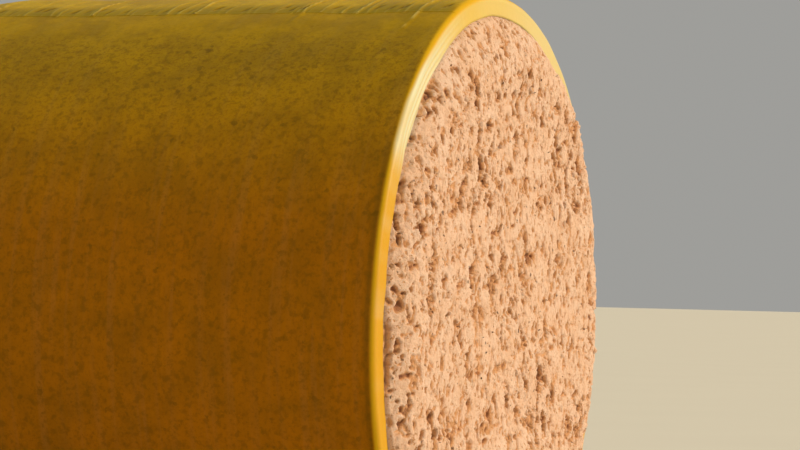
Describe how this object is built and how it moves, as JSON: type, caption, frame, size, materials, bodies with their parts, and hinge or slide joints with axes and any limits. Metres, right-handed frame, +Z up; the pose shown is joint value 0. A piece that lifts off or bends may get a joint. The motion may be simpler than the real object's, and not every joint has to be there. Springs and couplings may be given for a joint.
{
  "type": "round cotton module",
  "caption": "Round module of pressed seed cotton resting in a field, wrapped in yellow plastic film that turns in over both loose ends.",
  "frame": {"origin": "on the ground under the middle of the roll", "axes": "+X along the roll's axis towards the end that shows, +Y away from the side that carries the film's free end, +Z up"},
  "size_m": [2.4505, 2.3685, 2.0923],
  "materials": {
    "pressed_cotton": "pressed seed cotton, matte, hidden under the film",
    "loose_cotton": "loose seed cotton in lumpy locks with dark pits and bits of leaf, matte",
    "wrap_film": "thin yellow stretch film, slightly see-through, satin gloss with fine dents and folds"
  },
  "bodies": {
    "root": {"cotton_roll": "pressed_cotton", "loose_end_left": "loose_cotton", "loose_end_right": "loose_cotton", "film_turn_1": "wrap_film", "film_turn_2": "wrap_film", "film_turn_3": "wrap_film"}
  },
  "joints": []
}
